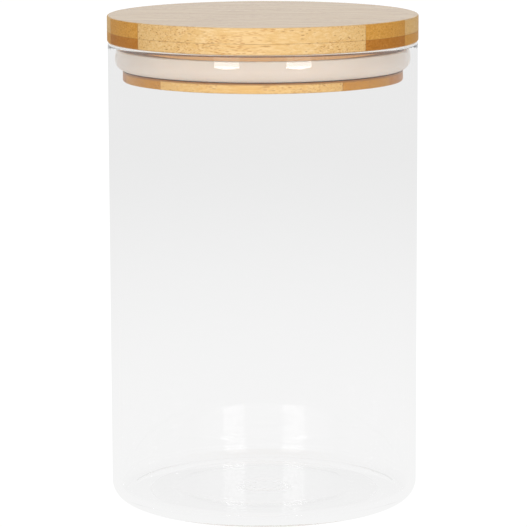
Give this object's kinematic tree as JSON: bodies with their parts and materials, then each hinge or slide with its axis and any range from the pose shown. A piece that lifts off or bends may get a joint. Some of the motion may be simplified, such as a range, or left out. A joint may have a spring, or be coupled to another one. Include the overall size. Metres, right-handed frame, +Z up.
{
  "type": "food canister",
  "caption": "Straight clear-glass storage jar closed by a push-in lid of laminated bamboo with a groove that holds a translucent silicone seal ring.",
  "frame": {"origin": "centre of the jar's foot, on the surface that it stands on", "axes": "+Z up along the jar's axis, -Y the front, +X to the right seen from the front"},
  "size_m": [0.1004, 0.1004, 0.1586],
  "materials": {
    "glass": "clear polished borosilicate, fire-polished rim",
    "silicone": "milky translucent, satin",
    "bamboo_pale": "satin lacquer over fine straight grain",
    "bamboo_honey": "satin lacquer over fine straight grain",
    "bamboo_amber": "satin lacquer over fine straight grain"
  },
  "bodies": {
    "jar": {"glass_jar": "glass"},
    "seal": {"seal_ring": "silicone"},
    "lid": {"top_ply_strip_1": "bamboo_pale", "top_ply_strip_2": "bamboo_honey", "top_ply_strip_3": "bamboo_pale", "top_ply_strip_4": "bamboo_honey", "top_ply_strip_5": "bamboo_pale", "top_ply_strip_6": "bamboo_honey", "shoulder_ply_strip_1": "bamboo_pale", "shoulder_ply_strip_2": "bamboo_amber", "shoulder_ply_strip_3": "bamboo_honey", "shoulder_ply_strip_4": "bamboo_pale", "shoulder_ply_strip_5": "bamboo_amber", "shoulder_ply_strip_6": "bamboo_honey", "neck_ply_strip_1": "bamboo_pale", "neck_ply_strip_2": "bamboo_honey", "neck_ply_strip_3": "bamboo_pale", "neck_ply_strip_4": "bamboo_honey", "neck_ply_strip_5": "bamboo_pale", "neck_ply_strip_6": "bamboo_amber", "flange_ply_strip_1": "bamboo_pale", "flange_ply_strip_2": "bamboo_honey", "flange_ply_strip_3": "bamboo_amber", "flange_ply_strip_4": "bamboo_pale", "flange_ply_strip_5": "bamboo_honey", "flange_ply_strip_6": "bamboo_pale"}
  },
  "joints": [
    {"name": "lid_lift", "type": "slide", "parent": "jar", "child": "seal", "axis": [0, 0, 1], "range_m": [0, 0.08]},
    {"name": "lid_turn", "type": "hinge", "parent": "seal", "child": "lid", "pos_m": [0, 0, 0.15], "axis": [0, 0, 1], "continuous": true}
  ]
}
